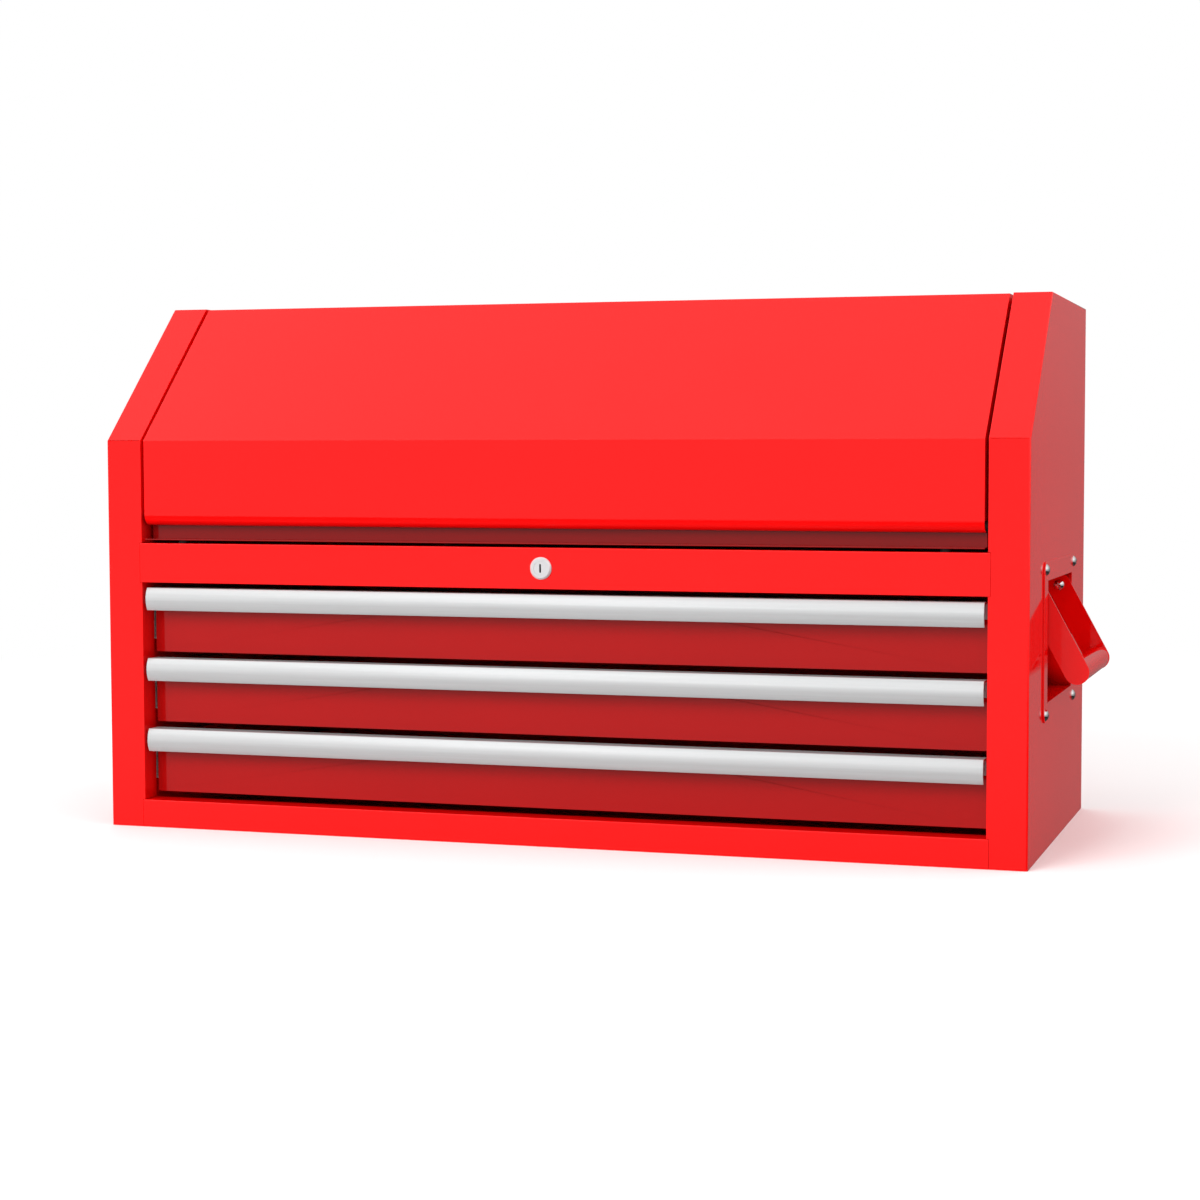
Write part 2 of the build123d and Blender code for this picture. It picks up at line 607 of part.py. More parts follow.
BRACKET_Y = FRONT + 340.0
with BuildPart() as lock_rod_bracket:
    block(
        -14, 14, BRACKET_Y, BRACKET_Y + 1.5, LOCK_HEIGHT - 10, TILL_FLOOR_TOP - SHEET
    )
    block(
        -14, 14, BRACKET_Y, BRACKET_Y + 16, TILL_FLOOR_TOP - SHEET - 1.5, TILL_FLOOR_TOP - SHEET
    )
    rod_y(
        BRACKET_Y - 1, BRACKET_Y + 3, 0, LOCK_HEIGHT, LOCK_ROD_SIDE / math.sqrt(2) + 0.4,
        mode=Mode.SUBTRACT,
    )
keep(lock_rod_bracket, "lock_rod_bracket")

# ---- folding side handles -----------------------------------------------------------------------
PIVOT_X = RIGHT - HANDLE_PIVOT_INSET
TILT = math.radians(HANDLE_REST_TILT)
PIVOT_HOLE = 3.0 + RUNNING_GAP
RECESS_HALF_Y = RECESS_OPENING_WIDTH / 2
RECESS_LOW = RECESS_CENTRE_HEIGHT - RECESS_OPENING_HEIGHT / 2
RECESS_HIGH = RECESS_CENTRE_HEIGHT + RECESS_OPENING_HEIGHT / 2
RECESS_FLOOR = RIGHT - RECESS_DEPTH
PLATE_FACE = RIGHT + RECESS_PLATE

with BuildPart() as handle_recess_right:
    with BuildSketch(Plane.YZ.offset(RIGHT)):
        with Locations((0, RECESS_CENTRE_HEIGHT)):
            RectangleRounded(RECESS_PLATE_WIDTH, RECESS_PLATE_HEIGHT, RECESS_CORNER)
    extrude(amount=RECESS_PLATE)
    block(
        RECESS_FLOOR - SHEET, RIGHT, -RECESS_HALF_Y - SHEET, RECESS_HALF_Y + SHEET,
        RECESS_LOW - SHEET, RECESS_HIGH + SHEET,
    )
    block(
        RECESS_FLOOR, PLATE_FACE + 1, -RECESS_HALF_Y, RECESS_HALF_Y, RECESS_LOW, RECESS_HIGH,
        mode=Mode.SUBTRACT,
    )
    rod_y(-RIGHT, RIGHT, PIVOT_X, HANDLE_PIVOT_HEIGHT, 2.6, mode=Mode.SUBTRACT)
    with Locations(Plane.YZ.offset(RIGHT).location):
        with Locations((0, RECESS_CENTRE_HEIGHT)):
            with GridLocations(SCREW_SPACING_Y, SCREW_SPACING_Z, 2, 2):
                Cylinder(2.6, 4 * RECESS_PLATE, mode=Mode.SUBTRACT)
keep(handle_recess_right, "handle_recess_right")
keep(mirrored(handle_recess_right), "handle_recess_left")


def arm_plane(y):
    """Plane of one handle arm: its X runs from the pivot towards the grip."""
    return Plane(
        origin=(PIVOT_X, y, HANDLE_PIVOT_HEIGHT),
        x_dir=(math.sin(TILT), 0, -math.cos(TILT)),
        z_dir=(0, 1, 0),
    )


HANDLE_ARM_INNER = HANDLE_ARM_OUTER - HANDLE_ARM_THICKNESS
with BuildPart() as handle_arms_right:
    for arm_y in (-HANDLE_ARM_OUTER, HANDLE_ARM_INNER):
        with BuildSketch(arm_plane(arm_y)):
            with Locations((HANDLE_LENGTH / 2, 0)):
                SlotCenterToCenter(HANDLE_LENGTH, 2 * HANDLE_ARM_RADIUS)
            Circle(PIVOT_HOLE, mode=Mode.SUBTRACT)
        extrude(amount=HANDLE_ARM_THICKNESS)
keep(handle_arms_right, "handle_arms_right")
keep(mirrored(handle_arms_right), "handle_arms_left")

with BuildPart() as handle_grip_right:
    with BuildSketch(arm_plane(-HANDLE_ARM_INNER)):
        with Locations((HANDLE_LENGTH, 0)):
            Circle(HANDLE_GRIP_RADIUS)
            Circle(HANDLE_GRIP_RADIUS - 2.0, mode=Mode.SUBTRACT)
    extrude(amount=2 * HANDLE_ARM_INNER)
keep(handle_grip_right, "handle_grip_right")
keep(mirrored(handle_grip_right), "handle_grip_left")


def dome_screw(frame, shank_radius, shank_length):
    """Dome-head screw with a cross recess; the plane's normal leaves the seat."""
    sphere_radius = (DOME_RADIUS**2 + DOME_HEIGHT**2) / (2 * DOME_HEIGHT)
    with BuildPart(mode=Mode.PRIVATE) as screw:
        with Locations((0, 0, DOME_HEIGHT - sphere_radius)):
            Sphere(sphere_radius)
        split(bisect_by=Plane.XY, keep=Keep.TOP)
        with Locations((0, 0, DOME_HEIGHT)):
            Box(4.6, 1.1, 3.2, mode=Mode.SUBTRACT)
            Box(1.1, 4.6, 3.2, mode=Mode.SUBTRACT)
        Cylinder(shank_radius, shank_length, align=(Align.CENTER, Align.CENTER, Align.MAX))
    add(screw.part.moved(frame.location))


with BuildPart() as recess_screws:
    for side in (-1, 1):
        for y in (-SCREW_SPACING_Y / 2, SCREW_SPACING_Y / 2):
            for z in (-SCREW_SPACING_Z / 2, SCREW_SPACING_Z / 2):
                seat = Plane(
                    origin=(side * PLATE_FACE, y, RECESS_CENTRE_HEIGHT + z), z_dir=(side, 0, 0)
                )
                dome_screw(seat, 2.5, 9.0)
keep(recess_screws, "recess_screws")

SCREW_SEAT_Y = HANDLE_ARM_INNER - 0.2
SHANK_LENGTH = RECESS_HALF_Y - SCREW_SEAT_Y
with BuildPart() as pivot_screws:
    for side in (-1, 1):
        for end in (-1, 1):
            seat = Plane(
                origin=(side * PIVOT_X, end * SCREW_SEAT_Y, HANDLE_PIVOT_HEIGHT),
                z_dir=(0, -end, 0),
            )
            dome_screw(seat, 3.0, SHANK_LENGTH)
            wall_y = end * RECESS_HALF_Y
            rod_y(wall_y, wall_y + end * 5.0, side * PIVOT_X, HANDLE_PIVOT_HEIGHT, 2.5)
            rod_y(
                wall_y - end * 1.2, wall_y, side * PIVOT_X, HANDLE_PIVOT_HEIGHT, 5.0
            )
keep(pivot_screws, "pivot_screws")

# ---- drawers ------------------------------------------------------------------------------------
DRAWER_HALF = WALL_FACE - SLIDE_THICKNESS - 0.1
FRONT_FACE = FRONT + FRONT_SETBACK
BOX_FRONT = FRONT_FACE + DRAWER_SHEET
BOX_BACK = BOX_FRONT + DRAWER_DEPTH
PULL_SCREW_X = (-330.0, -110.0, 110.0, 330.0)


def make_drawer_box(base):
    """Folded tray: floor, two sides, a back, and a front wall that stops below the pull's screws."""
    low = base + BOX_LIFT
    high = low + BOX_HEIGHT
    inner = DRAWER_HALF - DRAWER_SHEET
    with BuildPart() as box:
        block(-DRAWER_HALF, DRAWER_HALF, BOX_FRONT, BOX_BACK, low, high)
        block(
            -inner, inner, BOX_FRONT + DRAWER_SHEET, BOX_BACK - DRAWER_SHEET,
            low + DRAWER_SHEET, high + 1, mode=Mode.SUBTRACT,
        )
        block(
            -inner, inner, BOX_FRONT - 1, BOX_FRONT + DRAWER_SHEET + 1,
            low + BOX_FRONT_HEIGHT, high + 1, mode=Mode.SUBTRACT,
        )
    return box


def make_drawer_front(base):
    """Flat front panel behind the pull."""
    with BuildPart() as panel:
        block(
            -FRONT_HALF_WIDTH, FRONT_HALF_WIDTH, FRONT_FACE, BOX_FRONT, base, base + FRONT_HEIGHT
        )
        with Locations(Plane.XZ.offset(-BOX_FRONT).location):
            for x in PULL_SCREW_X:
                with Locations((x, base + PULL_CENTRE_LIFT)):
                    Cylinder(2.1, 6.0, mode=Mode.SUBTRACT)
    return panel


def make_pull(base):
    """Extruded aluminium pull: bowed front wall, top web, and a mounting flange at the back."""
    centre = base + PULL_CENTRE_LIFT
    half = PULL_HEIGHT / 2
    edge = FRONT + PULL_BULGE
    flange_low = centre - 5.0
    with BuildPart() as pull:
        with BuildSketch(Plane.YZ.offset(-FRONT_HALF_WIDTH + 0.6)):
            with BuildLine():
                ThreePointArc((edge, centre + half), (FRONT, centre), (edge, centre - half))
                Line((edge, centre - half), (edge + PULL_WALL, centre - half))
                ThreePointArc(
                    (edge + PULL_WALL, centre - half),
                    (FRONT + PULL_WALL, centre),
                    (edge + PULL_WALL, centre + half - PULL_WALL),
                )
                Polyline(
                    (edge + PULL_WALL, centre + half - PULL_WALL),
                    (FRONT_FACE - PULL_WALL, centre + half - PULL_WALL),
                    (FRONT_FACE - PULL_WALL, flange_low),
                    (FRONT_FACE, flange_low),
                    (FRONT_FACE, centre + half),
                    (edge, centre + half),
                )
            make_face()
        extrude(amount=2 * (FRONT_HALF_WIDTH - 0.6))
        with Locations(Plane.XZ.offset(-FRONT_FACE).location):
            for x in PULL_SCREW_X:
                with Locations((x, centre)):
                    Cylinder(2.1, 3 * PULL_WALL, mode=Mode.SUBTRACT)
    return pull


def make_pull_screws(base):
    """Pan-head screws driven from inside the drawer into the pull's flange."""
    centre = base + PULL_CENTRE_LIFT
    with BuildPart() as screws:
        for x in PULL_SCREW_X:
            rod_y(BOX_FRONT, BOX_FRONT + 2.2, x, centre, 4.0)
            rod_y(FRONT_FACE - PULL_WALL, BOX_FRONT, x, centre, 2.0)
    return screws


def slide_channel(web_x0, web_x1, lip_x, half_height, centre, y0, y1, thickness=1.2):
    """One C-shaped slide member on the right side: a web and two flanges reaching to lip_x."""
    block(web_x0, web_x1, y0, y1, centre - half_height, centre + half_height)
    for z0, z1 in (
        (centre - half_height, centre - half_height + thickness),
        (centre + half_height - thickness, centre + half_height),
    ):
        block(min(web_x0, lip_x), max(web_x1, lip_x), y0, y1, z0, z1)


SLIDE_FRONT = FRONT + SLIDE_SETBACK
SLIDE_BACK = SLIDE_FRONT + SLIDE_LENGTH
OUTER_LIP = WALL_FACE - 10.5
MID_WEB = WALL_FACE - 2.4
MID_LIP = WALL_FACE - 10.9
INNER_WEB = WALL_FACE - SLIDE_THICKNESS
INNER_LIP = WALL_FACE - 5.5

with BuildPart() as slide_outer_right:
    for index in range(DRAWER_COUNT):
        centre = TOP_FRONT_BOTTOM + SLIDE_CENTRE_LIFT - index * DRAWER_PITCH
        slide_channel(
            WALL_FACE - 1.2, WALL_FACE, OUTER_LIP, SLIDE_HEIGHT / 2, centre,
            SLIDE_FRONT, SLIDE_BACK,
        )
keep(slide_outer_right, "slide_outer_right")
keep(mirrored(slide_outer_right), "slide_outer_left")

for index, name in enumerate(DRAWER_NAMES):
    base = TOP_FRONT_BOTTOM - index * DRAWER_PITCH
    centre = base + SLIDE_CENTRE_LIFT
    keep(make_drawer_box(base), f"drawer_box_{name}")
    keep(make_drawer_front(base), f"drawer_front_{name}")
    keep(make_pull(base), f"drawer_pull_{name}")
    keep(make_pull_screws(base), f"pull_screws_{name}")

    with BuildPart() as slide_mid:
        slide_channel(
            MID_WEB - 1.2, MID_WEB, MID_LIP, SLIDE_HEIGHT / 2 - 3.3, centre,
            SLIDE_FRONT + 2, SLIDE_BACK - 2,
        )
        mirror(about=Plane.YZ)
    keep(slide_mid, f"slide_mid_{name}")

    with BuildPart() as slide_inner:
        slide_channel(
            INNER_WEB, INNER_WEB + 1.3, INNER_LIP, SLIDE_HEIGHT / 2 - 6.7, centre,
            SLIDE_FRONT + 1, SLIDE_BACK - 10,
        )
        mirror(about=Plane.YZ)
    keep(slide_inner, f"slide_inner_{name}")
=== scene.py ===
import json
import math

import bmesh
import bpy
from mathutils import Matrix, Vector


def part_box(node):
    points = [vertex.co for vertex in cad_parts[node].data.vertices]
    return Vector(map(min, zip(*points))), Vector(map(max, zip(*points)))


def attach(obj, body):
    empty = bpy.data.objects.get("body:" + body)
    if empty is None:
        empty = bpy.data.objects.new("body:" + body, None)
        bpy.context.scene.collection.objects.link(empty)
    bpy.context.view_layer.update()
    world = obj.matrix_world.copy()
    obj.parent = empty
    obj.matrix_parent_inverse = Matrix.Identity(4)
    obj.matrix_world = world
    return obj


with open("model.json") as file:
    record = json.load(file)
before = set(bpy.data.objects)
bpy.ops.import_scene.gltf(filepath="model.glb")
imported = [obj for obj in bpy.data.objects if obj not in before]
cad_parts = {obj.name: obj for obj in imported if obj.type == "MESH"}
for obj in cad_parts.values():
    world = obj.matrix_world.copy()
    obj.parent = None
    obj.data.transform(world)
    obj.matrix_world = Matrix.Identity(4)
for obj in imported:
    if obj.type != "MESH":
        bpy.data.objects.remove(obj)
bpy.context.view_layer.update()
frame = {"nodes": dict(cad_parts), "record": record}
NODES = frame["nodes"]
SLOT_OF = {part["node"]: part["material_slot"] for part in frame["record"]["subparts"]}
BODY_OF = {
    node: body
    for body, members in frame["record"]["behaviour"]["bodies"].items()
    for node in members
}
MM = 0.001


# ---- shader helpers -----------------------------------------------------------------------------
def new_material(name):
    """An empty Principled material: returns the material, its node tree and the shader."""
    material = bpy.data.materials.new(name)
    material.use_nodes = True
    tree = material.node_tree
    shader = tree.nodes["Principled BSDF"]
    return material, tree, shader


def object_coords(tree, scale=(1.0, 1.0, 1.0)):
    """Object coordinates in metres, stretched by scale."""
    coords = tree.nodes.new("ShaderNodeTexCoord")
    mapping = tree.nodes.new("ShaderNodeMapping")
    mapping.inputs["Scale"].default_value = scale
    tree.links.new(coords.outputs["Object"], mapping.inputs["Vector"])
    return mapping.outputs["Vector"]


def noise(tree, vector, scale, detail=2.0, roughness=0.5):
    """A noise texture's value output."""
    texture = tree.nodes.new("ShaderNodeTexNoise")
    texture.inputs["Scale"].default_value = scale
    texture.inputs["Detail"].default_value = detail
    texture.inputs["Roughness"].default_value = roughness
    tree.links.new(vector, texture.inputs["Vector"])
    return texture.outputs["Fac"]


def spread(tree, value, low, high, start=0.3, end=0.7):
    """Remaps a 0..1 value to low..high."""
    remap = tree.nodes.new("ShaderNodeMapRange")
    remap.inputs["From Min"].default_value = start
    remap.inputs["From Max"].default_value = end
    remap.inputs["To Min"].default_value = low
    remap.inputs["To Max"].default_value = high
    tree.links.new(value, remap.inputs["Value"])
    return remap.outputs["Result"]


def blend_colours(tree, value, first, second):
    """Mixes two colours by a value."""
    mix = tree.nodes.new("ShaderNodeMix")
    mix.data_type = "RGBA"
    mix.inputs["A"].default_value = (*first, 1.0)
    mix.inputs["B"].default_value = (*second, 1.0)
    tree.links.new(value, mix.inputs["Factor"])
    return mix.outputs["Result"]


def bump(tree, shader, height, strength, distance, below=None):
    """Adds a bump layer to the shader's normal, on top of an earlier one."""
    node = tree.nodes.new("ShaderNodeBump")
    node.inputs["Strength"].default_value = strength
    node.inputs["Distance"].default_value = distance
    tree.links.new(height, node.inputs["Height"])
    if below is not None:
        tree.links.new(below, node.inputs["Normal"])
    tree.links.new(node.outputs["Normal"], shader.inputs["Normal"])
    return node.outputs["Normal"]


def paint_fold_shade(tree, tone, shade_tone, distance, start, end):
    """Paints shade into a tone: darkens it inside a piece's own folds by local ambient occlusion;
    start and end are the openness it fades over.
    """
    occlusion = tree.nodes.new("ShaderNodeAmbientOcclusion")
    occlusion.only_local = True
    occlusion.samples = FOLD_SHADE_SAMPLES
    occlusion.inputs["Distance"].default_value = distance
    mix = tree.nodes.new("ShaderNodeMix")
    mix.data_type = "RGBA"
    openness = spread(tree, occlusion.outputs["AO"], 0.0, 1.0, start, end)
    tree.links.new(openness, mix.inputs["Factor"])
    mix.inputs["A"].default_value = (*shade_tone, 1.0)
    tree.links.new(tone, mix.inputs["B"])
    return mix.outputs["Result"]


# ---- materials ----------------------------------------------------------------------------------
# Noise scales are in cycles per metre, and bump distances in metres.
PAINT_DRIFT = 0.96
PAINT_DRIFT_SCALE = 5.0
PAINT_GLOSS_SCALE = 18.0
PAINT_WAVE_SCALE = 9.0
PAINT_PEEL_SCALE = 420.0
# Painted shade: the red paint is darkened in each piece's own folds and inside corners by a local
# ambient-occlusion node; these set how dark it goes and over what openness.
FOLD_SHADE_TONE = 0.26
FOLD_SHADE_START = 0.45
FOLD_SHADE_END = 0.95
FOLD_SHADE_SAMPLES = 12
# Painted shade: the lock's key slot is darkened to near black inside its own hollow by the same
# local occlusion node.
KEYWAY_SHADE_TONE = (0.004, 0.004, 0.004)
KEYWAY_SHADE_START = 0.80
KEYWAY_SHADE_END = 0.98
LINE_TONE = 0.93
ZINC_MOTTLE_SCALE = 60.0
ZINC_ROLLING = (400.0, 30.0, 400.0)
CHROME_SCRATCHES = (900.0, 900.0, 120.0)
CHROME_TONE = 0.94


def powder_coat(name, colour, gloss=0.05, shade_reach=0.0):
    """Gloss powder coat: fine orange peel, slow drift in tone and gloss, and painted shade: darker
    in its own folds from local ambient occlusion.
    """
    material, tree, shader = new_material(name)
    vector = object_coords(tree)
    shade = tuple(channel * PAINT_DRIFT for channel in colour)
    drift = noise(tree, vector, PAINT_DRIFT_SCALE, 3.0)
    tone = blend_colours(tree, spread(tree, drift, 0.0, 1.0), colour, shade)
    # Painted shade: a darker colour in the piece's own folds, from local ambient occlusion.
    if shade_reach > 0.0:
        shaded_tone = tuple(channel * FOLD_SHADE_TONE for channel in colour)
        tone = paint_fold_shade(tree, tone, shaded_tone, shade_reach, FOLD_SHADE_START, FOLD_SHADE_END)
    tree.links.new(tone, shader.inputs["Base Color"])
    cloud = noise(tree, vector, PAINT_GLOSS_SCALE, detail=4.0)
    tree.links.new(spread(tree, cloud, gloss * 0.8, gloss * 1.5), shader.inputs["Roughness"])
    swell = noise(tree, vector, PAINT_WAVE_SCALE, detail=1.0)
    wave = bump(tree, shader, swell, 0.03, 0.003)
    peel = noise(tree, vector, PAINT_PEEL_SCALE, detail=2.0, roughness=0.4)
    bump(tree, shader, peel, 0.04, 0.0003, below=wave)
    return material


def brushed_metal(name, colour, grain, roughness, metallic, shade_reach=0.0):
    """Metal with fine drawn lines; grain is the stretch of the line noise along X, Y, Z."""
    material, tree, shader = new_material(name)
    shader.inputs["Metallic"].default_value = metallic
    streaks = noise(tree, object_coords(tree, grain), 1.0, detail=3.0, roughness=0.6)
    dark = tuple(channel * LINE_TONE for channel in colour)
    tone = blend_colours(tree, spread(tree, streaks, 0.0, 1.0), dark, colour)
    # Painted shade: the colour goes near black in the piece's own hollows, such as the key slot,
    # from local ambient occlusion.
    if shade_reach > 0.0:
        tone = paint_fold_shade(tree, tone, KEYWAY_SHADE_TONE, shade_reach, KEYWAY_SHADE_START, KEYWAY_SHADE_END)
    tree.links.new(tone, shader.inputs["Base Color"])
    tree.links.new(
        spread(tree, streaks, roughness * 0.9, roughness * 1.15, 0.2, 0.8),
        shader.inputs["Roughness"],
    )
    bump(tree, shader, streaks, 0.12, 0.00006)
    return material


def zinc_plate(name, colour):
    """Zinc-plated steel: pale metal with soft mottling and rolling marks."""
    material, tree, shader = new_material(name)
    shader.inputs["Metallic"].default_value = 0.6
    vector = object_coords(tree)
    mottle = noise(tree, vector, ZINC_MOTTLE_SCALE, detail=3.0, roughness=0.5)
    rolled = noise(tree, object_coords(tree, ZINC_ROLLING), 1.0, detail=2.0)
    warm = (colour[0] * 1.02, colour[1] * 0.99, colour[2] * 0.92)
    tree.links.new(
        blend_colours(tree, spread(tree, mottle, 0.0, 1.0), colour, warm),
        shader.inputs["Base Color"],
    )
    tree.links.new(spread(tree, mottle, 0.33, 0.40), shader.inputs["Roughness"])
    bump(tree, shader, rolled, 0.05, 0.00003)
    return material


def polished_chrome(name, colour):
    """Polished plating with faint handling scratches."""
    material, tree, shader = new_material(name)
    shader.inputs["Metallic"].default_value = 1.0
    scratches = noise(tree, object_coords(tree, CHROME_SCRATCHES), 1.0, detail=2.0)
    tone = tuple(channel * CHROME_TONE for channel in colour)
    tree.links.new(
        blend_colours(tree, spread(tree, scratches, 0.0, 1.0), colour, tone),
        shader.inputs["Base Color"],
    )
    tree.links.new(spread(tree, scratches, 0.05, 0.12), shader.inputs["Roughness"])
    return material


def moulded(name, colour, roughness, grain=900.0):
    """Rubber or plastic with a fine moulded texture."""
    material, tree, shader = new_material(name)
    texture = noise(tree, object_coords(tree), grain, detail=3.0)
    lighter = tuple(channel * 1.25 + 0.004 for channel in colour)
    tree.links.new(
        blend_colours(tree, spread(tree, texture, 0.0, 1.0), colour, lighter),
        shader.inputs["Base Color"],
    )
    tree.links.new(
        spread(tree, texture, roughness * 0.9, roughness * 1.1), shader.inputs["Roughness"]
    )
    bump(tree, shader, texture, 0.2, 0.0001)
    shader.inputs["Specular IOR Level"].default_value = 0.25
    return material


RED = (0.86, 0.0025, 0.0025)
# The drawer paint is a darker red as painted shade, standing in for the shade the recessed drawer
# fronts sit in under the pulls; the drawers are the case's red.
DRAWER_SHADED_RED = (0.37, 0.0020, 0.0020)
# The finger channel's paint is a darker red as painted shade, standing in for the shade under the
# lid's lip.
CHANNEL_SHADED_RED = (0.23, 0.0020, 0.0020)
BLACK = (0.020, 0.020, 0.022)
# How far the painted fold shade reaches: in the red paint's channels and in the lock's key slot.
GROOVE_SHADE_REACH = 22.0 * MM
KEYWAY_SHADE_REACH = 10.0 * MM

MATERIALS = {
    # The red paint carries painted shade in its own folds.
    "red_paint": powder_coat("red_powder_coat_fold_shaded", RED, shade_reach=GROOVE_SHADE_REACH),
    "drawer_paint": powder_coat("drawer_shaded_powder_coat", DRAWER_SHADED_RED),
    "channel_shaded_paint": powder_coat("channel_shaded_powder_coat", CHANNEL_SHADED_RED),
    "aluminium": brushed_metal(
        "drawn_aluminium", (0.615, 0.625, 0.63), (6.0, 1500.0, 1500.0), 0.24, metallic=0.32
    ),
    "zinc_steel": zinc_plate("zinc_plate", (0.66, 0.67, 0.68)),
    "chrome": polished_chrome("polished_chrome", (0.88, 0.885, 0.89)),
    # The lock face carries painted shade in its key slot.
    "lock_face": brushed_metal(
        "satin_lock_face_slot_shaded", (0.80, 0.79, 0.80), (1200.0, 40.0, 1200.0), 0.34, metallic=0.5,
        shade_reach=KEYWAY_SHADE_REACH,
    ),
    "black_paint": powder_coat("black_enamel", BLACK, gloss=0.25),
    "rubber": moulded("black_rubber", (0.022, 0.022, 0.022), 0.7),
    "nylon": moulded("natural_nylon", (0.70, 0.69, 0.64), 0.45),
}

# The lock's outer face is satin like its plug, and the finger channel's coat is a darker red as
# painted shade, standing in for the shade under the lid's lip.
OWN_FINISH_AND_SHADE = {"lock_barrel": "lock_face", "lid_channel": "channel_shaded_paint"}
for node, piece in NODES.items():
    material_key = OWN_FINISH_AND_SHADE.get(node, SLOT_OF[node])
    piece.data.materials.clear()
    piece.data.materials.append(MATERIALS[material_key])


# ---- folded edges -------------------------------------------------------------------------------
def soften_edges(piece, width, segments=2):
    """Rounds the sharp arrises of a sheet or block, as paint and tooling leave them."""
    weld = piece.modifiers.new("weld", "WELD")
    weld.merge_threshold = 0.00002
    bevel = piece.modifiers.new("bevel", "BEVEL")
    bevel.width = width
    bevel.segments = segments
    bevel.limit_method = "ANGLE"
    bevel.angle_limit = math.radians(40.0)
    bevel.use_clamp_overlap = True
    bevel.harden_normals = True


SOFT_EDGE = {
    "lid": 0.45 * MM,
    "lock_rail": 0.35 * MM,
    "bottom_rail": 0.35 * MM,
    "lid_channel": 0.3 * MM,
}
FINE_EDGE = 0.3 * MM
FINE_EDGED = ("drawer_pull", "drawer_front", "side_panel", "handle_recess", "handle_arms")
for node, width in SOFT_EDGE.items():
    soften_edges(NODES[node], width)
for node in NODES:
    if node.startswith(FINE_EDGED):
        soften_edges(NODES[node], FINE_EDGE)


# ---- small pieces -------------------------------------------------------------------------------
def finish_piece(name, shape, body, slot):
    """Turns a bmesh into a shaded piece that rides on a body."""
    bmesh.ops.recalc_face_normals(shape, faces=shape.faces)
    mesh = bpy.data.meshes.new(name)
    shape.to_mesh(mesh)
    shape.free()
    mesh.shade_smooth()
    mesh.set_sharp_from_angle(angle=math.radians(38.0))
    mesh.materials.append(MATERIALS[slot])
    piece = bpy.data.objects.new(name, mesh)
    bpy.context.scene.collection.objects.link(piece)
    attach(piece, body)
    return piece


def add_prism(shape, outline, placed, start, end):
    """Extrudes a closed outline; placed(a, b, t) gives the point for outline (a, b) at length t."""
    rings = [[shape.verts.new(placed(a, b, t)) for a, b in outline] for t in (start, end)]
    count = len(outline)
    for index in range(count):
        after = (index + 1) % count
        shape.faces.new(
            (rings[0][index], rings[0][after], rings[1][after], rings[1][index])
        )
    for ring in rings:
        shape.faces.new(ring)


def add_lathe(shape, profile, matrix, steps=20):
    """Turns a profile of (radius, height) points about the matrix's Z; radius 0 closes an end."""
    rings = []
    for radius, height in profile:
        if radius == 0.0:
            rings.append([shape.verts.new(matrix @ Vector((0.0, 0.0, height)))])
            continue
        turn = [2.0 * math.pi * step / steps for step in range(steps)]
        rings.append([
            shape.verts.new(matrix @ Vector((radius * math.cos(a), radius * math.sin(a), height)))
            for a in turn
        ])
    for low, high in zip(rings, rings[1:]):
        for step in range(steps):
            after = (step + 1) % steps
            corners = [low[step % len(low)], low[after % len(low)]]
            corners += [high[after % len(high)], high[step % len(high)]]
            shape.faces.new(list(dict.fromkeys(corners)))


def facing(place, direction):
    """A frame at a place whose Z points along a direction."""
    turn = Vector(direction).to_track_quat("Z", "Y").to_matrix().to_4x4()
    return Matrix.Translation(Vector(place)) @ turn


# Rolled safety edges: the top of each drawer wall is curled over into an open bead.
BEAD_RADIUS = 1.8 * MM
BEAD_SHEET = 0.7 * MM
BEAD_RISE = 0.6 * MM
BEAD_OPENING = math.radians(28.0)
BEAD_STEPS = 12
DRAWER_WALL = 1.0 * MM


def bead_outline():
    """Section of the curl about its centre, open at the bottom where the wall runs in."""
    first = -math.pi / 2 + BEAD_OPENING
    sweep = 2 * math.pi - 2 * BEAD_OPENING
    angles = [first + sweep * step / BEAD_STEPS for step in range(BEAD_STEPS + 1)]
    outer = [(BEAD_RADIUS * math.cos(a), BEAD_RADIUS * math.sin(a)) for a in angles]
    bore = BEAD_RADIUS - BEAD_SHEET
    inner = [(bore * math.cos(a), bore * math.sin(a)) for a in reversed(angles)]
    return outer + inner


def make_drawer_beads(level):
    """The curled top edge of one drawer's two sides and back."""
    low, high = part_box(f"drawer_box_{level}")
    rim = high[2] - BEAD_RISE
    shape = bmesh.new()
    for side in (-1, 1):
        wall = side * (high[0] - DRAWER_WALL / 2)
        add_prism(
            shape, bead_outline(), lambda a, b, t: (wall + a, t, rim + b),
            low[1] + 2 * DRAWER_WALL, high[1] - DRAWER_WALL,
        )
    back = high[1] - DRAWER_WALL / 2
    add_prism(
        shape, bead_outline(), lambda a, b, t: (t, back + a, rim + b),
        low[0] + DRAWER_WALL, high[0] - DRAWER_WALL,
    )
    finish_piece(f"drawer_bead_{level}", shape, BODY_OF[f"drawer_box_{level}"], "red_paint")


# Ball cages: thin strips with a row of balls, between the members of each slide.
BALL_CLEARANCE = 0.12 * MM
CAGE_SHEET = 0.5 * MM
CAGE_WIDTH = 5.0 * MM
CAGE_LENGTH = 150.0 * MM
CAGE_END = 8.0 * MM
BALL_COUNT = 12
SLIDE_FLANGE = 1.2 * MM
RACE_GAP = 2.1 * MM
BALL_PROFILE_STEPS = 6


